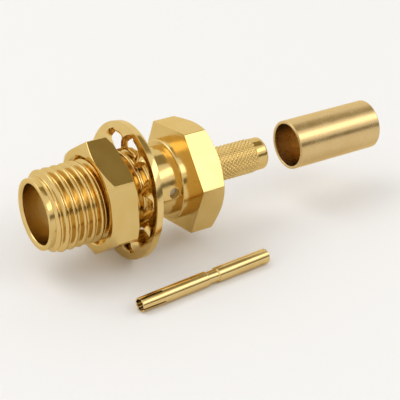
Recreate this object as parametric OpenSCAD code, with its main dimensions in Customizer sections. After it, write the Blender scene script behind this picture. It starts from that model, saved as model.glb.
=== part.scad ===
// Coaxial bulkhead jack for thin cable, crimp type, as supplied: the turned body with its
// insulator, hex nut and lock washer on the thread, and the loose crimp sleeve and contact.
// X runs along the connector, from the mating mouth (-X) to the cable end (+X). The origin is
// on the axis, on the flange face that seats against the panel. Z is up. Millimetres.

/* [Threaded barrel] */
// Outside diameter of the thread
thread_d = 6.35; // [6.2:0.05:6.5]
// Length from the mouth to the panel seat
barrel_len = 11.8; // [11:0.1:14]
// Diameter of the plain ring at the mouth
mouth_ring_d = 5.48; // [5.3:0.02:5.7]
// Length of the plain ring at the mouth
mouth_ring_len = 0.45; // [0.3:0.05:0.8]
// Distance from the panel seat to the end of the thread
thread_end = 3.05; // [2.9:0.05:3.4]
// Diameter of the smooth neck behind the thread
neck_d = 5.4; // [5.2:0.05:5.6]
// Diameter of the collar that centres the panel hole
collar_d = 6.35; // [6.1:0.05:6.4]
// Length of the collar
collar_len = 0.92; // [0.6:0.02:1]
// Bore at the mouth, which takes the mating plug
mouth_bore_d = 4.6; // [4.55:0.01:4.7]
// Depth of the bore at the mouth
mouth_bore_depth = 2.8; // [1.9:0.1:3.5]
// Diameter of the two cross holes that lock the insulator
lock_hole_d = 0.85; // [0.6:0.05:0.9]

/* [Flange] */
// Width of the flange and of the nut across their flats
hex_af = 8; // [7.8:0.1:8.4]
// Thickness of the flange
flange_t = 2.2; // [1.8:0.1:3]
// Turn of the flange about the axis, in degrees
flange_turn = 22.9; // [0:0.1:60]

/* [Crimp stub] */
// Diameter of the stub over its knurl
stub_d = 2.76; // [2.6:0.02:2.9]
// Length of the stub behind the flange
stub_len = 6; // [5:0.1:7]
// Length of the plain nose at the end of the stub
nose_len = 0.95; // [0.6:0.05:1.5]
// Diameter of the plain nose
nose_d = 2.62; // [2.5:0.02:2.7]
// Bore through the stub, for the cable's insulation
cable_bore_d = 1.8; // [1.6:0.05:1.9]

/* [Insulator] */
// Diameter of the insulator
insulator_d = 4.12; // [4:0.01:4.15]
// Length of the insulator
insulator_len = 9.6; // [9:0.1:9.8]
// Bore for the contact
contact_bore_d = 1.2; // [1.19:0.01:1.3]

/* [Nut] */
// Thickness of the nut
nut_t = 2.2; // [1.8:0.1:2.2]
// Distance from the panel seat to the nut's rear face
nut_gap = 5.27; // [5.27:0.01:5.6]
// Turn of the nut about the axis, in degrees
nut_turn = 55.5; // [0:0.5:60]

/* [Lock washer] */
// Outside diameter of the washer
washer_d = 10.66; // [10.2:0.02:10.7]
// Diameter of the hole between the tips of the teeth
washer_hole_d = 6.6; // [6.56:0.02:6.7]
// Thickness of the sheet
washer_t = 0.5; // [0.4:0.02:0.54]
// Number of inner teeth
tooth_count = 10; // [8:1:10]
// Twist of a tooth out of the washer's plane, in degrees
tooth_twist = 32; // [20:1:32]
// Distance from the panel seat to the middle of the washer
washer_gap = 4.22; // [4.2:0.01:4.22]
// Lean of the loose washer, in degrees
washer_lean = 5.2; // [0:0.1:5.2]

/* [Crimp sleeve] */
// Outside diameter of the sleeve
sleeve_d = 4.04; // [3.9:0.02:4.2]
// Wall of the sleeve
sleeve_wall = 0.25; // [0.2:0.01:0.4]
// Length of the sleeve
sleeve_len = 8.05; // [7:0.05:9]
// Distance from the panel seat to the near end of the loose sleeve
sleeve_start = 10.9; // [10:0.1:14]

/* [Contact] */
// Length of the contact
contact_len = 11.7; // [11.5:0.1:12.5]
// Diameter of the contact
contact_d = 1.17; // [1.1:0.01:1.18]
// Diameter of the contact's waist
waist_d = 0.98; // [0.9:0.01:1.05]
// Bore of the socket, for the mating pin
socket_d = 0.94; // [0.9:0.01:0.96]
// Bore for the cable's wire
wire_bore_d = 0.56; // [0.5:0.01:0.65]
// Width of the slots between the socket's fingers
slot_w = 0.13; // [0.1:0.01:0.16]

/* [Hidden] */

gold = "#d9b15c";
pale_gold = "#e3c374";
ptfe = "#f4f1e8";

round_fn = 96;
small_fn = 48;
eps = 0.01;

thread_r = thread_d / 2;
hex_r = hex_af / sqrt(3);          // centre to corner
lead_len = (thread_d - mouth_ring_d) / 2;
rim = 0.07;                        // small bevel on turned edges
mouth_flare = 0.13;                // bevel inside the mouth
shoulder = 0.3;                    // bevel at the end of the thread
collar_bevel = 0.1;
stub_end = flange_t + stub_len;
nose_round = 0.3;
knurl_bevel = 0.12;
insulator_x = mouth_bore_depth - barrel_len;
insulator_end = insulator_x + insulator_len;
seat_clear = 0.01;                 // all round the insulator
nut_clear = 0.05;                  // between the thread and the nut's bore
nut_sink = 0.28;                   // bevel at each end of the nut's bore
rear_chamfer = 0.6;                // share of the full corner chamfer on the nut's rear
lock_hole_x = -collar_len - 0.5;
lock_hole_angle = 178;             // about X, from +Y towards +Z

washer_r = washer_d / 2;
band_r = washer_r - 0.52;          // where the teeth leave the rim
tooth_tip_r = washer_hole_d / 2;
tooth_root_w = 2.8;
tooth_neck_w = 1.6;
tooth_tip_w = 1.25;
tooth_phase = 30;                  // turn of the first tooth in the washer's own plane

floor_z = -washer_r;               // lowest point of the group
contact_r = contact_d / 2;
contact_tip = [-7.74, -8.22];      // where the loose contact lies
contact_yaw = 5.2;
finger_len = 1.9;
finger_pinch = 0.045;              // how far the fingers close in at the tip
waist_start = 5.95;
waist_len = 0.95;
waist_step = 0.1;

// Turns a profile of [radius, x] points about the X axis.
module turned(profile, fn = round_fn) {
    rotate([0, 90, 0]) rotate_extrude($fn = fn) polygon(profile);
}

// A hexagonal bar along X with its corners turned off at 30 degrees. start and end are the
// shares of the full chamfer at the two ends.
module hex_bar(x, t, turn, start, end) {
    drop = (hex_r - hex_af / 2) * tan(30);
    over = 0.2;
    full = hex_r + over;
    front = hex_r - (hex_r - hex_af / 2) * start;
    rear = hex_r - (hex_r - hex_af / 2) * end;
    slope = tan(60);
    intersection() {
        translate([x, 0, 0]) rotate([0, 90, 0]) rotate([0, 0, turn])
            cylinder(r = hex_r, h = t, $fn = 6);
        translate([x, 0, 0]) turned([
            [0, 0], [front, 0], [full, (full - front) / slope],
            [full, t - (full - rear) / slope], [rear, t], [0, t]
        ]);
    }
}

// Outside of the turned body, without the flange.
module body_outside() {
    turned([
        [0, -barrel_len],
        [mouth_ring_d / 2 - rim, -barrel_len],
        [mouth_ring_d / 2, rim - barrel_len],
        [mouth_ring_d / 2, mouth_ring_len - barrel_len],
        [thread_r, mouth_ring_len + lead_len - barrel_len],
        [thread_r, -thread_end],
        [neck_d / 2, shoulder - thread_end],
        [neck_d / 2, -collar_len],
        [collar_d / 2 - collar_bevel, -collar_len],
        [collar_d / 2, collar_bevel - collar_len],
        [collar_d / 2, flange_t / 2],
        [stub_d / 2, flange_t / 2],
        [stub_d / 2, stub_end - nose_len - knurl_bevel],
        [nose_d / 2, stub_end - nose_len],
        [nose_d / 2, stub_end - nose_round],
        for (a = [15 : 15 : 90])
            [nose_d / 2 - nose_round + nose_round * cos(a), stub_end - nose_round + nose_round * sin(a)],
        [0, stub_end]
    ]);
}

// The bores, from the mouth to the cable end.
module body_inside() {
    turned([
        [0, -barrel_len - eps],
        [mouth_bore_d / 2 + mouth_flare + eps, -barrel_len - eps],
        [mouth_bore_d / 2, mouth_flare - barrel_len],
        [mouth_bore_d / 2, insulator_x],
        [insulator_d / 2 + seat_clear, insulator_x],
        [insulator_d / 2 + seat_clear, insulator_end + seat_clear],
        [cable_bore_d / 2, insulator_end + seat_clear],
        [cable_bore_d / 2, stub_end - mouth_flare],
        [cable_bore_d / 2 + mouth_flare + eps, stub_end + eps],
        [0, stub_end + eps]
    ]);
}

// Body: threaded barrel, neck, collar, hex flange and crimp stub, turned in one piece.
module body_shell() {
    color(gold) difference() {
        union() {
            body_outside();
            hex_bar(0, flange_t, flange_turn, 0, 1);
        }
        body_inside();
        translate([lock_hole_x, 0, 0]) rotate([lock_hole_angle - 90, 0, 0])
            cylinder(d = lock_hole_d, h = 2 * thread_d, center = true, $fn = small_fn);
    }
}

// Insulator, pressed in from the mouth, with a lead-in at the rear of the contact's bore.
module insulator() {
    lead = 0.2;
    color(ptfe) difference() {
        turned([
            [0, insulator_x],
            [insulator_d / 2 - rim, insulator_x],
            [insulator_d / 2, insulator_x + rim],
            [insulator_d / 2, insulator_end - rim],
            [insulator_d / 2 - rim, insulator_end],
            [0, insulator_end]
        ]);
        turned([
            [0, insulator_x - eps],
            [contact_bore_d / 2, insulator_x - eps],
            [contact_bore_d / 2, insulator_end - lead],
            [contact_bore_d / 2 + lead + eps, insulator_end + eps],
            [0, insulator_end + eps]
        ], small_fn);
    }
}

// Hex nut. The smooth bore stands for its thread and clears the barrel.
module hex_nut() {
    bore_r = thread_r + nut_clear;
    front_x = -nut_gap - nut_t;
    color(pale_gold) difference() {
        hex_bar(front_x, nut_t, nut_turn, 1, rear_chamfer);
        translate([front_x, 0, 0]) turned([
            [0, -eps],
            [bore_r + nut_sink + eps, -eps],
            [bore_r, nut_sink],
            [bore_r, nut_t - nut_sink],
            [bore_r + nut_sink + eps, nut_t + eps],
            [0, nut_t + eps]
        ]);
    }
}

// One inner tooth: flat sections laid inwards from the rim. They narrow in a round fillet, turn
// about the tooth's own middle line, and close in a rounded tip.
module washer_tooth() {
    steps = 12;
    edge = 0.07;
    start_r = band_r + 0.12;
    half_t = washer_t * 0.47;
    function at(i) = i / steps;
    function radius(i) = start_r + (tooth_tip_r - start_r) * at(i);
    function turned_by(i) = tooth_twist * max(0, min(1, (at(i) - 0.1) / 0.4));
    function fillet(i) = (tooth_root_w - tooth_neck_w) / 2 * pow(max(0, 1 - at(i) / 0.45), 2);
    function taper(i) = (tooth_neck_w + (tooth_tip_w - tooth_neck_w) * at(i)) / 2;
    function round_tip(i) = 0.25 * pow(max(0, (at(i) - 0.7) / 0.3), 2);
    function half_w(i) = taper(i) + fillet(i) - round_tip(i);
    function section(i) = let (a = turned_by(i), u = half_w(i), v = half_t, b = edge)
        [for (q = [[-u, b - v], [b - u, -v], [u - b, -v], [u, b - v],
                   [u, v - b], [u - b, v], [b - u, v], [-u, v - b]])
            [radius(i), q[0] * cos(a) + q[1] * sin(a), q[1] * cos(a) - q[0] * sin(a)]];
    corners = [for (i = [0 : steps]) each section(i)];
    sides = [for (i = [0 : steps - 1]) for (k = [0 : 7]) each [
        [i * 8 + k, (i + 1) * 8 + (k + 1) % 8, (i + 1) * 8 + k],
        [i * 8 + k, i * 8 + (k + 1) % 8, (i + 1) * 8 + (k + 1) % 8]]];
    ends = [[for (k = [7 : -1 : 0]) k], [for (k = [0 : 7]) steps * 8 + k]];
    polyhedron(corners, concat(sides, ends));
}

// Lock washer with twisted inner teeth, leaning on the thread behind the nut.
module lock_washer() {
    soft = 0.08;
    half = washer_t / 2;
    color(gold) translate([-washer_gap, 0, 0]) rotate([0, 90 + washer_lean, 0]) union() {
        rotate_extrude($fn = round_fn) polygon([
            [band_r, -half],
            [washer_r - soft, -half],
            [washer_r, soft - half],
            [washer_r, half - soft],
            [washer_r - soft, half],
            [band_r, half]
        ]);
        for (i = [0 : tooth_count - 1])
            rotate([0, 0, tooth_phase + i * 360 / tooth_count]) washer_tooth();
    }
}

// Crimp sleeve, loose on the axis behind the stub.
module crimp_sleeve() {
    outer = sleeve_d / 2;
    inner = outer - sleeve_wall;
    edge = 0.07;
    color(pale_gold) translate([sleeve_start, 0, 0]) turned([
        [inner + edge, 0],
        [outer - edge, 0],
        [outer, edge],
        [outer, sleeve_len - edge],
        [outer - edge, sleeve_len],
        [inner + edge, sleeve_len],
        [inner, sleeve_len - edge],
        [inner, edge]
    ]);
}

// Contact with a slotted socket at the front and a wire bore at the rear, lying beside the body.
module center_contact() {
    slot_turn = 14;
    socket_len = 2.6;
    wire_len = 3.2;
    drill = 0.3;
    color(gold) translate([contact_tip[0], contact_tip[1], floor_z + contact_r])
    rotate([0, 0, contact_yaw]) difference() {
        turned([
            [0, 0],
            [contact_r - finger_pinch - rim, 0],
            [contact_r - finger_pinch, rim],
            [contact_r, finger_len],
            [contact_r, waist_start],
            [waist_d / 2, waist_start + waist_step],
            [waist_d / 2, waist_start + waist_len],
            [contact_r - waist_step, waist_start + waist_len],
            [contact_r, waist_start + waist_len + waist_step],
            [contact_r, contact_len - rim],
            [contact_r - rim, contact_len],
            [0, contact_len]
        ], small_fn);
        turned([
            [0, -eps],
            [socket_d / 2 - finger_pinch + eps, -eps],
            [socket_d / 2, finger_len],
            [socket_d / 2, socket_len],
            [0, socket_len + drill]
        ], small_fn);
        turned([
            [0, contact_len - wire_len - drill],
            [wire_bore_d / 2, contact_len - wire_len],
            [wire_bore_d / 2, contact_len + eps],
            [0, contact_len + eps]
        ], small_fn);
        for (a = [0, 90]) rotate([a + slot_turn, 0, 0])
            translate([-eps, -contact_d, -slot_w / 2]) cube([finger_len + eps, 2 * contact_d, slot_w]);
    }
}

body_shell();
insulator();
hex_nut();
lock_washer();
crimp_sleeve();
center_contact();
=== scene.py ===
import math
import bpy
import numpy as np
from mathutils import Matrix, Vector


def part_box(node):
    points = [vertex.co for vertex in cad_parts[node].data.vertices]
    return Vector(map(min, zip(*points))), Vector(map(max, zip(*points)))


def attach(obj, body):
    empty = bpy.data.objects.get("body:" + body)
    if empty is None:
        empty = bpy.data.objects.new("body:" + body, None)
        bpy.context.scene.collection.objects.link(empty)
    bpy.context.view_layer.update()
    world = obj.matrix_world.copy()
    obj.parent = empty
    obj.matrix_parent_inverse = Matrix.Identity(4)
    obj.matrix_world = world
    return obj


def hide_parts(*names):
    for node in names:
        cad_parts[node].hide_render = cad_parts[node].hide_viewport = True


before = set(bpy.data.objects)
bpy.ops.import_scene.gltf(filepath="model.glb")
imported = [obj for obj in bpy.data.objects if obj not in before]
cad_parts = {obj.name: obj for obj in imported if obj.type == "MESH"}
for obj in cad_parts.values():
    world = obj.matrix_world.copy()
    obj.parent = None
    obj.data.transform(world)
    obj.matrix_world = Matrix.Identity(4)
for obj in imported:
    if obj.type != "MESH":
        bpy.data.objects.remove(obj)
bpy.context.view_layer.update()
mm = 0.001                                             # lengths below are in millimetres
bodyLow, bodyHigh = (np.array(v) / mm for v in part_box("body_shell"))
nutLow, nutHigh = (np.array(v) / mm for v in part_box("hex_nut"))
washerLow, washerHigh = (np.array(v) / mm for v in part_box("lock_washer"))
sleeveLow, sleeveHigh = (np.array(v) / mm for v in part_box("crimp_sleeve"))
plugLow, plugHigh = (np.array(v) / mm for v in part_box("insulator"))
print("frame loaded")


def linear(hexText):
    # sRGB text to linear numbers: c / 12.92 below 0.04045, ((c + 0.055) / 1.055) ^ 2.4 above
    c = np.array([int(hexText[i:i + 2], 16) for i in (0, 2, 4)]) / 255
    return tuple(np.where(c < 0.04045, c / 12.92, ((c + 0.055) / 1.055) ** 2.4)) + (1.0,)


# ---- shapes as arrays

def smoothStep(low, high, t):
    # 3s^2 - 2s^3 with s the share of the way from low to high
    s = np.clip((t - low) / (high - low), 0, 1)
    return s * s * (3 - 2 * s)


def triangleWave(t):
    # 0 at whole numbers, 1 half way between them
    return 1 - np.abs(2 * (t - np.floor(t)) - 1)


def softPath(points, radius, steps=5):
    # each inner corner p becomes the curve (1-t)^2 a + 2t(1-t) p + t^2 b, with a and b one radius away along its two sides
    p = np.asarray(points, float)
    before, corner, after = p[..., :-2, :], p[..., 1:-1, :], p[..., 2:, :]
    toBefore, toAfter = before - corner, after - corner
    lenBefore = np.linalg.norm(toBefore, axis=-1, keepdims=True) + 1e-9
    lenAfter = np.linalg.norm(toAfter, axis=-1, keepdims=True) + 1e-9
    a = corner + toBefore / lenBefore * np.minimum(radius, 0.45 * lenBefore)
    b = corner + toAfter / lenAfter * np.minimum(radius, 0.45 * lenAfter)
    t = np.linspace(0, 1, steps + 1)[:, None]
    curve = ((1 - t) ** 2 * a[..., None, :] + 2 * t * (1 - t) * corner[..., None, :] + t ** 2 * b[..., None, :])
    curve = curve.reshape(p.shape[:-2] + (-1, 2))
    return np.concatenate([p[..., :1, :], curve, p[..., -1:, :]], -2)


def turnRound(path, angles):
    # point (x, r) of the path at angle a goes to (x, r cos a, r sin a)
    path = np.broadcast_to(path, (len(angles),) + path.shape[-2:])
    x, r = path[..., 0], path[..., 1]
    return np.stack([x, r * np.cos(angles)[:, None], r * np.sin(angles)[:, None]], -1)


def gridFaces(rows, cols, closeRows, closeCols):
    # quads between neighbouring rows and columns of a grid numbered row by row
    i = np.arange(rows if closeRows else rows - 1)[:, None]
    j = np.arange(cols if closeCols else cols - 1)[None, :]
    a = i * cols + j
    b = i * cols + (j + 1) % cols
    c = ((i + 1) % rows) * cols + (j + 1) % cols
    d = ((i + 1) % rows) * cols + j
    return np.stack([a, b, c, d], -1).reshape(-1, 4)


def surface(points, closeRows=True, closeCols=False):
    # a grid of points as one patch: its vertices and its quads
    rows, cols = points.shape[:2]
    return points.reshape(-1, 3), gridFaces(rows, cols, closeRows, closeCols)


def joined(patches):
    # patches one after another, with their face numbers moved on
    starts = np.cumsum([0] + [len(v) for v, f in patches[:-1]])
    return np.concatenate([v for v, f in patches]), np.concatenate([f + s for (v, f), s in zip(patches, starts)])


def circle(n):
    return np.linspace(0, 2 * math.pi, n, endpoint=False)


def makePiece(name, patches, body, material, scale=mm):
    verts, faces = joined(patches)
    mesh = bpy.data.meshes.new(name)
    mesh.vertices.add(len(verts))
    mesh.vertices.foreach_set("co", (verts * scale).ravel())
    mesh.loops.add(faces.size)
    mesh.loops.foreach_set("vertex_index", faces.ravel().astype(np.int32))
    mesh.polygons.add(len(faces))
    mesh.polygons.foreach_set("loop_start", np.arange(0, faces.size, 4, dtype=np.int32))
    mesh.update(calc_edges=True)
    mesh.validate()
    obj = bpy.data.objects.new(name, mesh)
    bpy.context.scene.collection.objects.link(obj)
    mesh.shade_smooth()
    mesh.materials.append(material)
    if body:
        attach(obj, body)
    return obj


def weighNormals(obj):
    w = obj.modifiers.new("normals", "WEIGHTED_NORMAL")
    w.weight = 80
    w.keep_sharp = False


def cutWith(obj, cutters, bevel):
    # takes the cutters out of obj while both are a thousand times full size and rounds the cut edges; the caller scales
    # the result down afterwards
    for c in cutters:
        b = obj.modifiers.new("cut", "BOOLEAN")
        b.object = c
        b.solver = "EXACT"
    v = obj.modifiers.new("edge", "BEVEL")
    v.width = bevel
    v.segments = 3
    v.limit_method = "ANGLE"
    v.angle_limit = math.radians(40)
    bpy.context.view_layer.update()
    graph = bpy.context.evaluated_depsgraph_get()
    mesh = bpy.data.meshes.new_from_object(obj.evaluated_get(graph))
    obj.modifiers.clear()
    obj.data = mesh
    for c in cutters:
        bpy.data.objects.remove(c)
    return obj


def boxCutter(center, size, turn=0.0):
    bpy.ops.mesh.primitive_cube_add(size=1)
    c = bpy.context.object
    c.matrix_world = Matrix.Rotation(turn, 4, "X") @ Matrix.Translation(Vector(center)) @ Matrix.Diagonal(Vector((*size, 1)))
    return c


# ---- finishes

def softGrain(name):
    # a node group: a fine and a coarse noise and fine turning lines; the fine noise and the lines make one height
    # value, and the coarse noise comes out on its own as Cloud
    g = bpy.data.node_groups.new(name, "ShaderNodeTree")
    g.interface.new_socket("Lines", in_out="INPUT", socket_type="NodeSocketFloat")
    g.interface.new_socket("Height", in_out="OUTPUT", socket_type="NodeSocketFloat")
    g.interface.new_socket("Cloud", in_out="OUTPUT", socket_type="NodeSocketFloat")
    n, link = g.nodes, g.links.new
    start, end = n.new("NodeGroupInput"), n.new("NodeGroupOutput")
    place = n.new("ShaderNodeTexCoord")
    fine, cloud = n.new("ShaderNodeTexNoise"), n.new("ShaderNodeTexNoise")
    fine.inputs["Scale"].default_value = 9000
    fine.inputs["Detail"].default_value = 3
    cloud.inputs["Scale"].default_value = 700
    cloud.inputs["Detail"].default_value = 4
    lines = n.new("ShaderNodeTexNoise")
    lines.noise_dimensions = "1D"
    lines.inputs["Scale"].default_value = 22000
    split = n.new("ShaderNodeSeparateXYZ")
    link(place.outputs["Object"], fine.inputs["Vector"])
    link(place.outputs["Object"], cloud.inputs["Vector"])
    link(place.outputs["Object"], split.inputs[0])
    link(split.outputs["X"], lines.inputs["W"])
    part = n.new("ShaderNodeMath")
    part.operation = "MULTIPLY"
    link(lines.outputs["Fac"], part.inputs[0])
    link(start.outputs["Lines"], part.inputs[1])
    total = n.new("ShaderNodeMath")
    total.operation = "ADD"
    link(part.outputs[0], total.inputs[0])
    link(fine.outputs["Fac"], total.inputs[1])
    link(total.outputs[0], end.inputs["Height"])
    link(cloud.outputs["Fac"], end.inputs["Cloud"])
    return g


grainGroup = softGrain("platedGrain")


def goldPlating(name, deep, pale, roughLow, roughHigh, lines, bump):
    # gold whose colour and gloss drift a little over the surface, with a faint grain
    m = bpy.data.materials.new(name)
    m.use_nodes = True
    n, link = m.node_tree.nodes, m.node_tree.links.new
    p = n["Principled BSDF"]
    p.inputs["Metallic"].default_value = 1.0
    p.inputs["Specular Tint"].default_value = linear("fff2d0")
    grain = n.new("ShaderNodeGroup")
    grain.node_tree = grainGroup
    grain.inputs["Lines"].default_value = lines
    tone = n.new("ShaderNodeMix")
    tone.data_type = "RGBA"
    tone.inputs["A"].default_value = linear(deep)
    tone.inputs["B"].default_value = linear(pale)
    link(grain.outputs["Cloud"], tone.inputs["Factor"])
    link(tone.outputs["Result"], p.inputs["Base Color"])
    gloss = n.new("ShaderNodeMapRange")
    gloss.inputs["From Min"].default_value = 0.3
    gloss.inputs["From Max"].default_value = 0.7
    gloss.inputs["To Min"].default_value = roughLow
    gloss.inputs["To Max"].default_value = roughHigh
    link(grain.outputs["Cloud"], gloss.inputs["Value"])
    link(gloss.outputs["Result"], p.inputs["Roughness"])
    b = n.new("ShaderNodeBump")
    b.inputs["Strength"].default_value = bump
    b.inputs["Distance"].default_value = 0.01 * mm
    link(grain.outputs["Height"], b.inputs["Height"])
    link(b.outputs["Normal"], p.inputs["Normal"])
    return m


def waxyPlastic(name, color):
    m = bpy.data.materials.new(name)
    m.use_nodes = True
    p = m.node_tree.nodes["Principled BSDF"]
    p.inputs["Base Color"].default_value = linear(color)
    p.inputs["Roughness"].default_value = 0.42
    p.inputs["Subsurface Weight"].default_value = 0.2
    p.inputs["Subsurface Radius"].default_value = (0.4 * mm, 0.35 * mm, 0.3 * mm)
    p.inputs["Subsurface Scale"].default_value = 1.0
    return m


turnedGold = goldPlating("turnedGold", "d2b066", "dfc284", 0.13, 0.21, 0.8, 0.22)
milledGold = goldPlating("milledGold", "ceac62", "dcbf80", 0.09, 0.15, 0.3, 0.14)
stampedGold = goldPlating("stampedGold", "d6b46c", "e3c88c", 0.10, 0.17, 0.0, 0.16)
tubeGold = goldPlating("tubeGold", "d0b076", "dcc08c", 0.22, 0.30, 0.5, 0.22)
contactGold = goldPlating("contactGold", "d8b670", "e4ca90", 0.12, 0.18, 1.0, 0.2)
ptfe = waxyPlastic("ptfe", "f4f1e8")
for name, finish in {"body_shell": turnedGold, "insulator": ptfe, "hex_nut": milledGold, "lock_washer": stampedGold,
                     "crimp_sleeve": tubeGold, "center_contact": contactGold}.items():
    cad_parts[name].data.materials.clear()
    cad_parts[name].data.materials.append(finish)
print("finishes made")


# ---- connector body

thread = {
    "pitch": 25.4 / 36,
    "radius": 3.175,
    "depth": 0.40,
    "crest": 0.86,         # share of the tooth's rise where the flat crest starts
    "root": 0.16,
    "start": bodyLow[0] + 0.42,
    "end": -2.78,
    "lead": 1.0,           # rise of the cone at each end over its length
    "endRadius": 2.66,
}


def threadHeight(x, angle, d):
    # a triangle wave of x / pitch - angle / one turn, cut flat at crest and root, and eased between them
    t = (triangleWave(x / d["pitch"] - angle / (2 * math.pi)) - d["root"]) / (d["crest"] - d["root"])
    t = np.clip(t, 0, 1)
    return 0.45 * t + 0.55 * t * t * (3 - 2 * t)


def maleThread(d, around=160, perPitch=18):
    # radius: root + depth * threadHeight, never above the cone that leads in at each end
    x = np.linspace(d["start"], d["end"], int((d["end"] - d["start"]) / d["pitch"] * perPitch))
    angle, along = np.meshgrid(circle(around), x, indexing="ij")
    r = d["radius"] - d["depth"] * (1 - threadHeight(along, angle, d))
    r = np.minimum(r, d["endRadius"] + np.maximum(0, along - d["start"]) * d["lead"] + 0.02)
    r = np.minimum(r, d["endRadius"] + np.maximum(0, d["end"] - along) * d["lead"] * 1.2)
    return surface(np.stack([along, r * np.cos(angle), r * np.sin(angle)], -1))


mouth = {
    "ringRadius": 2.74, "boreRadius": 2.3, "boreEnd": plugLow[0], "flare": 0.13, "seat": 2.07, "ringLength": 0.46,
}


def mouthRing(d, front):
    path = [(d["boreEnd"], d["seat"]), (d["boreEnd"], d["boreRadius"]), (front + d["flare"], d["boreRadius"]),
            (front, d["boreRadius"] + d["flare"]), (front, d["ringRadius"]), (front + d["ringLength"], d["ringRadius"]),
            (front + d["ringLength"] + 0.1, d["ringRadius"] - 0.2)]
    return surface(turnRound(softPath(path, 0.07), circle(160)))


collar = {"radius": 3.175, "length": 0.92, "bevel": 0.1, "neckRadius": 2.7}


def collarRing(d):
    path = [(-d["length"] - 0.1, d["neckRadius"] - 0.2), (-d["length"], d["neckRadius"] - 0.05),
            (-d["length"], d["radius"] - d["bevel"]), (-d["length"] + d["bevel"], d["radius"]), (0.05, d["radius"])]
    return surface(turnRound(softPath(path, 0.05), circle(160)))


def hexAngles(turn, perSide=26):
    # angles that crowd together towards the corners
    t = np.linspace(-1, 1, perSide, endpoint=False)
    side = np.sign(t) * (1 - (1 - np.abs(t)) ** 2.2) * 30
    return np.radians(np.concatenate([turn + 60 * k + side for k in range(6)]))


def hexRadius(angles, turn, flats, sharp=45):
    # distance to the nearest flat, with a soft minimum that rounds the corners
    off = np.abs((np.degrees(angles) - turn + 30) % 60 - 30)
    one = flats / 2 / np.cos(np.radians(off))
    two = flats / 2 / np.cos(np.radians(60 - off))
    return -np.log(np.exp(-sharp * (one - flats / 2)) + np.exp(-sharp * (two - flats / 2))) / sharp + flats / 2


def hexBlock(d):
    # at each angle: up the front face, over its turned chamfer, along the flat, over the rear chamfer, down the rear face
    angles = hexAngles(d["turn"])
    r = hexRadius(angles, d["turn"], d["flats"])
    corner = d["flats"] / math.sqrt(3)
    spread = corner - d["flats"] / 2
    frontFace = corner - spread * d["frontChamfer"]
    rearFace = corner - spread * d["rearChamfer"]
    slope = math.tan(math.radians(30))
    frontDrop = np.maximum(r - frontFace, 0) * slope
    rearDrop = np.maximum(r - rearFace, 0) * slope
    one = np.ones_like(r)
    path = np.stack([
        np.stack([d["front"] * one, d["boreFront"] * one], -1),
        np.stack([d["front"] * one, np.minimum(r, frontFace) - 0.004], -1),
        np.stack([d["front"] + frontDrop + 0.004, r], -1),
        np.stack([d["rear"] - rearDrop - 0.004, r], -1),
        np.stack([d["rear"] * one, np.minimum(r, rearFace) - 0.004], -1),
        np.stack([d["rear"] * one, d["boreRear"] * one], -1)], -2)
    return surface(turnRound(softPath(path, d["edge"]), angles))


flange = {"front": 0.0, "rear": 2.2, "turn": 22.9, "flats": 8.0, "frontChamfer": 0.0, "rearChamfer": 1.0,
          "edge": 0.05, "boreFront": 3.1, "boreRear": 1.25}

stub = {"radius": 1.38, "start": flange["rear"] - 0.05, "end": bodyHigh[0] - 0.95, "around": 24, "depth": 0.11,
        "noseRadius": 1.31, "noseRound": 0.3, "bore": 0.9, "boreStart": 0.61}


def knurledStub(d, perDiamond=10):
    # diamonds: the lower of two triangle waves that run round the stub on opposite slants
    pitch = 2 * math.pi * d["radius"] / d["around"]
    x = np.linspace(d["start"], d["end"], int((d["end"] - d["start"]) / pitch * perDiamond))
    angle, along = np.meshgrid(circle(d["around"] * perDiamond), x, indexing="ij")
    turnShare = angle * d["around"] / (2 * math.pi)
    one = triangleWave(turnShare + along / pitch)
    two = triangleWave(turnShare - along / pitch)
    height = np.clip(np.minimum(one, two) / 0.72, 0, 1)
    r = d["radius"] - d["depth"] * (1 - height)
    r = np.minimum(r, d["noseRadius"] - 0.03 + (d["end"] - along) * 0.9)
    return surface(np.stack([along, r * np.cos(angle), r * np.sin(angle)], -1))


def stubNose(d, end):
    path = [(d["end"] - 0.2, d["noseRadius"] - 0.06), (d["end"] - 0.02, d["noseRadius"]), (end, d["noseRadius"]),
            (end, d["bore"] + 0.13), (end - 0.13, d["bore"]), (d["boreStart"], d["bore"])]
    return surface(turnRound(softPath(path, d["noseRound"], 8), circle(128)))


bodyPiece = makePiece("connectorBody", [
    mouthRing(mouth, bodyLow[0]), maleThread(thread), collarRing(collar), hexBlock(flange),
    knurledStub(stub), stubNose(stub, bodyHigh[0])], "shell", turnedGold)
weighNormals(bodyPiece)
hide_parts("body_shell")

neck = {"start": -3.15, "end": -0.9, "radius": 2.7, "inner": 2.07, "holeX": -1.42, "holeRadius": 0.425, "holeTurn": 178}


def neckTube(d):
    # a closed tube with the locking hole drilled right across
    path = np.array([(d["start"], d["inner"]), (d["start"], d["radius"]), (d["end"], d["radius"]), (d["end"], d["inner"])])
    tube = makePiece("neckTube", [surface(turnRound(path, circle(128)), True, True)], None, turnedGold, 1.0)
    bpy.ops.mesh.primitive_cylinder_add(vertices=48, radius=d["holeRadius"], depth=8)
    drill = bpy.context.object
    drill.matrix_world = Matrix.Translation((d["holeX"], 0, 0)) @ Matrix.Rotation(math.radians(d["holeTurn"] - 90), 4, "X")
    cutWith(tube, [drill], 0.05)
    tube.data.transform(Matrix.Scale(mm, 4))
    tube.data.shade_smooth()
    weighNormals(tube)
    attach(tube, "shell")
    return tube


neckTube(neck)
print("body made")

plug = {"radius": 2.06, "bore": 0.6, "lead": 0.2}


def insulatorPlug(d, low, high):
    path = [(low + 0.5, d["bore"]), (low, d["bore"]), (low, d["radius"]), (high, d["radius"]), (high, d["bore"] + d["lead"]),
            (high - d["lead"], d["bore"]), (low + 0.5, d["bore"])]
    return surface(turnRound(softPath(path, 0.06), circle(96)))


plugPiece = makePiece("insulatorPlug", [insulatorPlug(plug, plugLow[0], plugHigh[0])], "shell", ptfe)
weighNormals(plugPiece)
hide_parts("insulator")

# ---- nut

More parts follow.
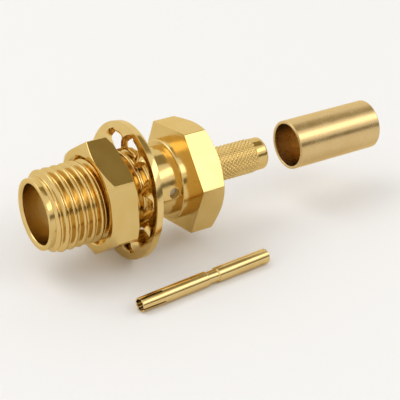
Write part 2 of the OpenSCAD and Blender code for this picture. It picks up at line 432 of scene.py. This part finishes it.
nut = {"front": nutLow[0], "rear": nutHigh[0], "turn": 55.5, "flats": 8.0, "frontChamfer": 1.0, "rearChamfer": 0.6,
       "edge": 0.06, "boreFront": 3.5, "boreRear": 3.5, "clear": 0.045, "sink": 0.28}


def femaleThread(d, screw, around=160, perPitch=18):
    # the male thread's radius and a little more, opened by a cone at each end
    x = np.linspace(d["front"], d["rear"], int((d["rear"] - d["front"]) / screw["pitch"] * perPitch))
    angle, along = np.meshgrid(circle(around), x, indexing="ij")
    r = screw["radius"] + d["clear"] - screw["depth"] * (1 - threadHeight(along, angle, screw))
    r = np.maximum(r, screw["radius"] + d["clear"] + d["sink"] - (along - d["front"]))
    r = np.maximum(r, screw["radius"] + d["clear"] + d["sink"] - (d["rear"] - along))
    return surface(np.stack([along, r * np.cos(angle), r * np.sin(angle)], -1))


nutPiece = makePiece("panelNut", [hexBlock(nut), femaleThread(nut, thread)], "nut", milledGold)
weighNormals(nutPiece)
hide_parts("hex_nut")

# ---- lock washer

washer = {"radius": 5.33, "band": 4.81, "tip": 3.3, "thick": 0.5, "teeth": 10, "phase": 30, "twist": 32, "rootWidth": 2.8,
          "neckWidth": 1.6, "tipWidth": 1.25, "gap": 4.22, "lean": 5.2, "edge": 0.09}


def toothedSheet(d, across=20, gapCols=4, rows=22):
    # the middle surface: a flat ring, and inner teeth whose rows narrow in a fillet and turn about the tooth's own line
    perTooth = across + gapCols
    columns = d["teeth"] * perTooth
    step = 2 * math.pi / columns
    angles = math.radians(d["phase"]) + (np.arange(columns) - across / 2) * step
    radii = np.linspace(d["radius"], d["band"], 5)
    a, r = np.meshgrid(angles, radii, indexing="xy")
    ring = np.stack([r * np.cos(a), r * np.sin(a), 0 * r], -1)
    ringVerts, ringFaces = surface(ring, False, True)
    at = np.linspace(0, 1, rows + 1)[1:, None]
    u = np.linspace(-1, 1, across + 1)[None, :]
    fillet = (d["rootWidth"] - d["neckWidth"]) / 2 * np.maximum(0, 1 - at / 0.45) ** 2
    taper = (d["neckWidth"] + (d["tipWidth"] - d["neckWidth"]) * at) / 2
    half = fillet + taper - 0.28 * np.maximum(0, (at - 0.75) / 0.25) ** 2
    rootHalf = across / 2 * step * d["band"]
    half = half + (rootHalf - half) * np.maximum(0, 1 - at / 0.12) ** 2
    turn = math.radians(d["twist"]) * smoothStep(0.04, 0.55, at)
    side = u * half
    radial = d["band"] + (d["tip"] - d["band"]) * at - side ** 2 / (2 * d["band"]) * (1 - smoothStep(0, 0.35, at))
    tooth = np.stack([radial + 0 * side, side * np.cos(turn), -side * np.sin(turn)], -1)
    patches, links = [ringVerts], [ringFaces]
    inner = (len(radii) - 1) * columns
    start = len(ringVerts)
    for k in range(d["teeth"]):
        turnBy = math.radians(d["phase"] + k * 360 / d["teeth"])
        c, s = math.cos(turnBy), math.sin(turnBy)
        placed = tooth @ np.array([[c, s, 0], [-s, c, 0], [0, 0, 1]])
        rootRow = inner + (k * perTooth + np.arange(across + 1)) % columns
        numbers = np.concatenate([rootRow[None, :], start + np.arange(rows * (across + 1)).reshape(rows, across + 1)])
        links.append(np.stack([numbers[:-1, :-1], numbers[:-1, 1:], numbers[1:, 1:], numbers[1:, :-1]], -1).reshape(-1, 4))
        patches.append(placed.reshape(-1, 3))
        start += rows * (across + 1)
    verts, faces = np.concatenate(patches), np.concatenate(links)
    lean = math.radians(d["lean"])
    place = np.array([[-math.sin(lean), 0, -math.cos(lean)], [0, 1, 0], [math.cos(lean), 0, -math.sin(lean)]])
    return verts @ place + np.array([-d["gap"], 0, 0]), faces


washerPiece = makePiece("toothedWasher", [toothedSheet(washer)], "washer", stampedGold)
thick = washerPiece.modifiers.new("thickness", "SOLIDIFY")
thick.thickness = washer["thick"] * mm
thick.offset = 0
thick.use_even_offset = False
edge = washerPiece.modifiers.new("edge", "BEVEL")
edge.width = washer["edge"] * mm
edge.segments = 3
edge.limit_method = "ANGLE"
edge.angle_limit = math.radians(55)
weighNormals(washerPiece)
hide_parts("lock_washer")
print("nut and washer made")

# ---- crimp sleeve

sleeve = {"outer": 2.02, "inner": 1.77, "edge": 0.09}


def crimpSleeve(d, low, high):
    middle = (low + high) / 2
    path = [(middle, d["inner"]), (low, d["inner"]), (low, d["outer"]), (high, d["outer"]), (high, d["inner"]), (middle, d["inner"])]
    return surface(turnRound(softPath(path, d["edge"], 6), circle(160)))


sleevePiece = makePiece("crimpSleeve", [crimpSleeve(sleeve, sleeveLow[0], sleeveHigh[0])], "sleeve", tubeGold)
weighNormals(sleevePiece)
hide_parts("crimp_sleeve")

# ---- contact

contact = {"tip": (-7.74, -8.22, -4.745), "yaw": 5.2, "length": 11.7, "radius": 0.585, "waistRadius": 0.49, "waistStart": 5.95,
           "waistLength": 0.95, "socket": 0.47, "pinch": 0.045, "fingers": 1.9, "socketDepth": 2.6, "wire": 0.28,
           "wireDepth": 3.2, "slot": 0.13, "slotTurn": 14}


def slottedContact(d):
    # turned pin with a waist, a socket at the front and a wire bore at the rear, then two saw cuts that cross in the socket
    r, end = d["radius"], d["length"]
    waistEnd = d["waistStart"] + d["waistLength"]
    path = [(d["socketDepth"], 0.001), (d["socketDepth"], d["socket"]), (d["fingers"], d["socket"]),
            (0, d["socket"] - d["pinch"]), (0, r - d["pinch"]), (d["fingers"], r), (d["waistStart"], r),
            (d["waistStart"], d["waistRadius"]), (waistEnd, d["waistRadius"]), (waistEnd, r), (end, r), (end, d["wire"]),
            (end - d["wireDepth"], d["wire"]), (end - d["wireDepth"], 0.001)]
    pin = makePiece("slottedContact", [surface(turnRound(softPath(path, 0.06, 4), circle(96)))], None, contactGold, 1.0)
    cuts = [boxCutter((d["fingers"] / 2 - 0.5, 0, 0), (d["fingers"] + 1, 2 * r + 1, d["slot"]), math.radians(d["slotTurn"] + k * 90))
            for k in range(2)]
    cutWith(pin, cuts, 0.02)
    place = Matrix.Translation(Vector(d["tip"])) @ Matrix.Rotation(math.radians(d["yaw"]), 4, "Z")
    pin.data.transform(Matrix.Scale(mm, 4) @ place)
    pin.data.shade_smooth()
    weighNormals(pin)
    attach(pin, "shell")
    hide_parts("center_contact")
    return pin


slottedContact(contact)
print("sleeve and contact made")

# ---- floor, lights and camera

studio = {"floorZ": washerLow[2] if washerLow[2] < -5.32 else -5.33, "white": (0.93, 0.93, 0.93, 1)}


def whiteFloor(d):
    bpy.ops.mesh.primitive_plane_add(size=3.0, location=(0, 0, d["floorZ"] * mm))
    floor = bpy.context.object
    m = bpy.data.materials.new("floorWhite")
    m.use_nodes = True
    p = m.node_tree.nodes["Principled BSDF"]
    p.inputs["Base Color"].default_value = d["white"]
    p.inputs["Roughness"].default_value = 0.8
    floor.data.materials.append(m)


whiteFloor(studio)


def card(name, center, facing, width, height, color):
    # a flat card that metal can mirror and the camera doesn't see
    bpy.ops.mesh.primitive_plane_add(size=1)
    c = bpy.context.object
    c.name = name
    aim = Vector(facing).to_track_quat("Z", "Y").to_matrix().to_4x4()
    c.matrix_world = Matrix.Translation(Vector(center)) @ aim @ Matrix.Diagonal(Vector((width, height, 1, 1)))
    m = bpy.data.materials.new(name)
    m.use_nodes = True
    p = m.node_tree.nodes["Principled BSDF"]
    p.inputs["Base Color"].default_value = color
    p.inputs["Roughness"].default_value = 0.9
    c.data.materials.append(m)
    c.visible_camera = False


def softbox(name, center, target, width, height, power):
    data = bpy.data.lights.new(name, "AREA")
    data.shape = "RECTANGLE"
    data.size, data.size_y, data.energy = width, height, power
    lamp = bpy.data.objects.new(name, data)
    bpy.context.scene.collection.objects.link(lamp)
    lamp.location = center
    lamp.rotation_mode = "QUATERNION"
    lamp.rotation_quaternion = (Vector(target) - Vector(center)).to_track_quat("-Z", "Y")


softbox("rightFront", (0.142, -0.18, 0.19), (0, 0, 0), 0.24, 0.09, 0.11)      # the bright streak on every round
softbox("highBack", (-0.16, 0.20, 0.40), (0, 0, 0), 0.30, 0.30, 0.42)
card("overheadCard", (0.118, 0.029, 0.218), (-0.474, -0.117, -0.873), 0.15, 0.12, (0.36, 0.31, 0.18, 1))
card("darkFlag", (0.13, -0.245, 0.045), (-0.46, 0.87, -0.15), 0.5, 0.07, (0.16, 0.13, 0.07, 1))

scene = bpy.context.scene
world = bpy.data.worlds.new("world")
world.use_nodes = True
scene.world = world
n, link = world.node_tree.nodes, world.node_tree.links.new
seen = n.new("ShaderNodeLightPath")
anyRay = n.new("ShaderNodeMath")
anyRay.operation = "MAXIMUM"
mixShader = n.new("ShaderNodeMixShader")
backdrop = n.new("ShaderNodeBackground")
backdrop.inputs["Color"].default_value = (1, 1, 1, 1)
backdrop.inputs["Strength"].default_value = 1.0
ambient = n["Background"]
ambient.inputs["Color"].default_value = (1, 0.98, 0.95, 1)
ambient.inputs["Strength"].default_value = 0.85
link(seen.outputs["Is Camera Ray"], anyRay.inputs[0])
link(seen.outputs["Is Glossy Ray"], anyRay.inputs[1])
whiteRay = n.new("ShaderNodeMath")
whiteRay.operation = "MAXIMUM"
link(anyRay.outputs[0], whiteRay.inputs[0])
link(seen.outputs["Is Transmission Ray"], whiteRay.inputs[1])
link(whiteRay.outputs[0], mixShader.inputs[0])
link(ambient.outputs[0], mixShader.inputs[1])
link(backdrop.outputs[0], mixShader.inputs[2])
link(mixShader.outputs[0], n["World Output"].inputs["Surface"])
scene.view_settings.view_transform = "Standard"

cameraView = {"place": (-46.26, -77.44, 44.6), "right": (0.84605, -0.53310, 0), "up": (0.24482, 0.38854, 0.88831), "lens": 117}
camera = bpy.data.objects.new("camera", bpy.data.cameras.new("camera"))
scene.collection.objects.link(camera)
right, up = Vector(cameraView["right"]), Vector(cameraView["up"])
look = Matrix((right, up, right.cross(up))).transposed().to_4x4()
look.translation = Vector(cameraView["place"]) * mm
camera.matrix_world = look
camera.data.lens = cameraView["lens"]
camera.data.sensor_width = 36
camera.data.clip_start = 0.001
scene.camera = camera
print("studio made")
